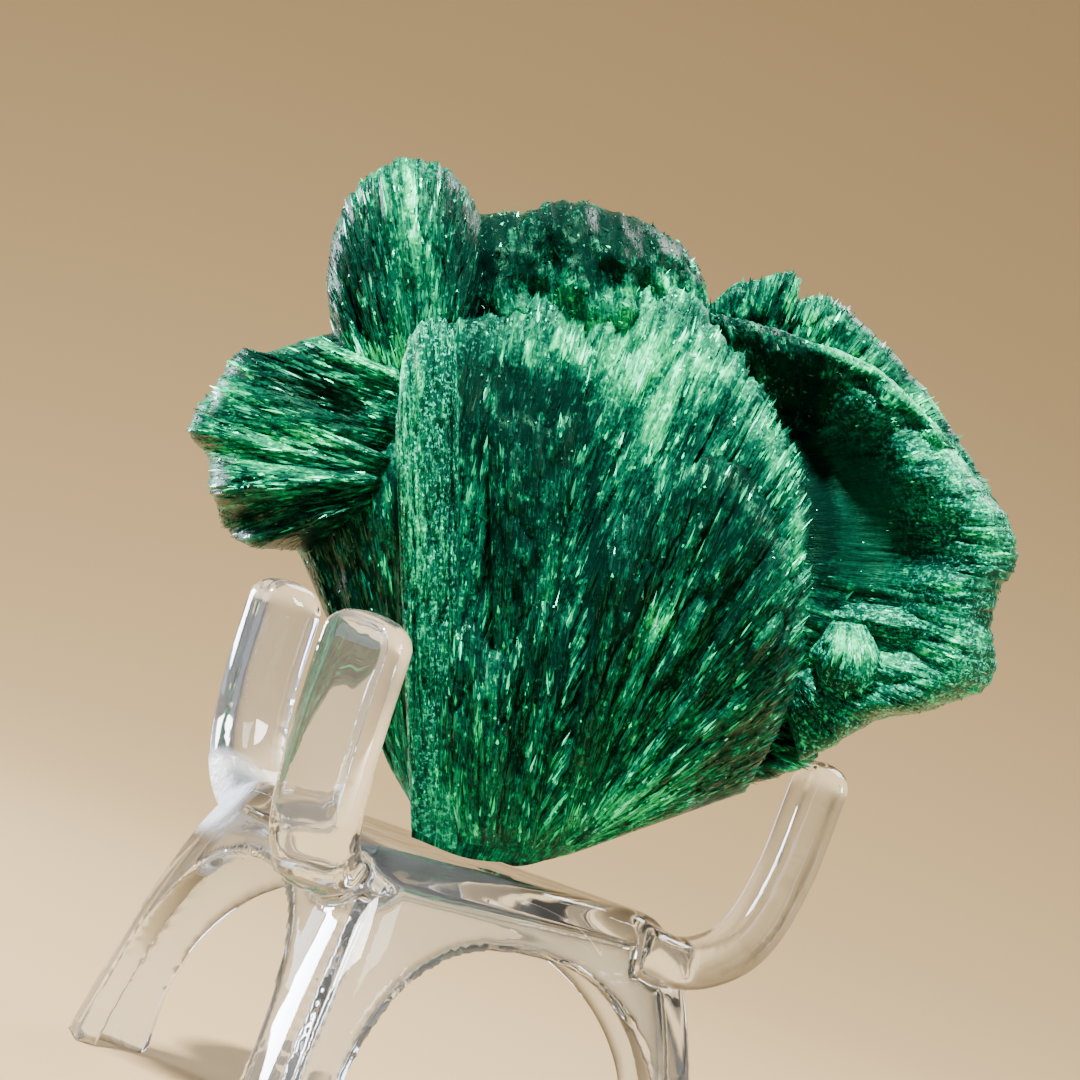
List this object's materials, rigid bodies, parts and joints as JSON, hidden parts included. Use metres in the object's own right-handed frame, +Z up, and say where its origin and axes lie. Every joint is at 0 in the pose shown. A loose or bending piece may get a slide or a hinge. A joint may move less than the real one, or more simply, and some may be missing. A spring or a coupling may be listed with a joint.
{
  "type": "malachite specimen on display stand",
  "caption": "Rough fibrous malachite of fused radiating sprays, resting on a clear moulded stand with flared legs and curled arms.",
  "frame": {"origin": "on the surface that the stand's feet rest on, under the middle of the whole", "axes": "+Z up, +X to the viewer's right along the stone's width, +Y away from the viewer"},
  "size_m": [0.056, 0.0476, 0.0665],
  "materials": {
    "malachite": "silky fibrous malachite, rough",
    "stand": "clear moulded polystyrene, glossy"
  },
  "bodies": {
    "root": {"malachite": "malachite", "stand": "stand"}
  },
  "joints": []
}
